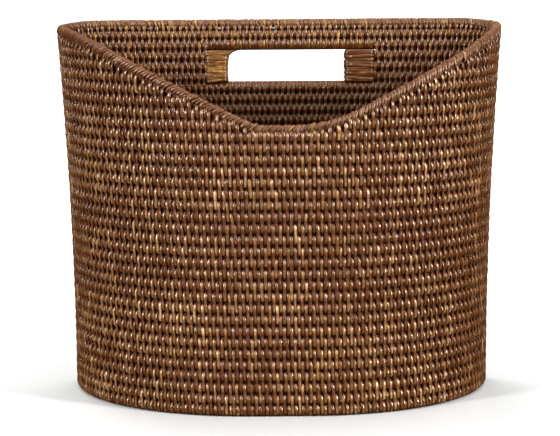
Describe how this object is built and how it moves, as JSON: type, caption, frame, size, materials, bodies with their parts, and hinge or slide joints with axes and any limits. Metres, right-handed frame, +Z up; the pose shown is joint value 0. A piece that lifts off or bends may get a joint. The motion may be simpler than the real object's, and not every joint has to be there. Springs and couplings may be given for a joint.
{
  "type": "wicker log basket",
  "caption": "Coiled rattan log basket with a flat back, rounded front, low scooped front rim and a hand slot in the back wall.",
  "frame": {"origin": "centre of the overall footprint, on the floor that the basket stands on", "axes": "+X to the right of someone facing the rounded front, +Y from the front towards the flat back, +Z up"},
  "size_m": [0.4522, 0.2346, 0.373],
  "materials": {
    "wall_weave": "walnut stained cane strips under gloss lacquer",
    "base_weave": "walnut stained cane strips, satin lacquer",
    "core_rod": "dark stained rattan rod, satin",
    "rim_binding": "walnut stained cane strips under gloss lacquer",
    "slot_binding": "golden to red-brown cane strips under gloss lacquer"
  },
  "bodies": {
    "root": {"base_weave": "base_weave", "base_rods": "core_rod", "wall_rod_01": "core_rod", "wall_rod_02": "core_rod", "wall_rod_03": "core_rod", "wall_rod_04": "core_rod", "wall_rod_05": "core_rod", "wall_rod_06": "core_rod", "wall_rod_07": "core_rod", "wall_rod_08": "core_rod", "wall_rod_09": "core_rod", "wall_rod_10": "core_rod", "wall_rod_11": "core_rod", "wall_rod_12": "core_rod", "wall_rod_13": "core_rod", "wall_rod_14": "core_rod", "wall_rod_15": "core_rod", "wall_rod_16": "core_rod", "wall_rod_17": "core_rod", "wall_rod_18": "core_rod", "wall_rod_19": "core_rod", "wall_rod_20": "core_rod", "wall_rod_21": "core_rod", "wall_rod_22": "core_rod", "wall_rod_23": "core_rod", "wall_rod_24": "core_rod", "wall_rod_25": "core_rod", "wall_rod_26": "core_rod", "wall_rod_27": "core_rod", "wall_rod_28": "core_rod", "wall_rod_29": "core_rod", "wall_rod_30": "core_rod", "wall_rod_31": "core_rod", "wall_rod_32": "core_rod", "wall_rod_33": "core_rod", "front_weave": "wall_weave", "left_side_weave": "wall_weave", "right_side_weave": "wall_weave", "left_corner_weave": "wall_weave", "right_corner_weave": "wall_weave", "back_weave": "wall_weave", "slot_binding_left": "slot_binding", "slot_binding_right": "slot_binding", "rim_rod": "core_rod", "rim_binding": "rim_binding"}
  },
  "joints": []
}
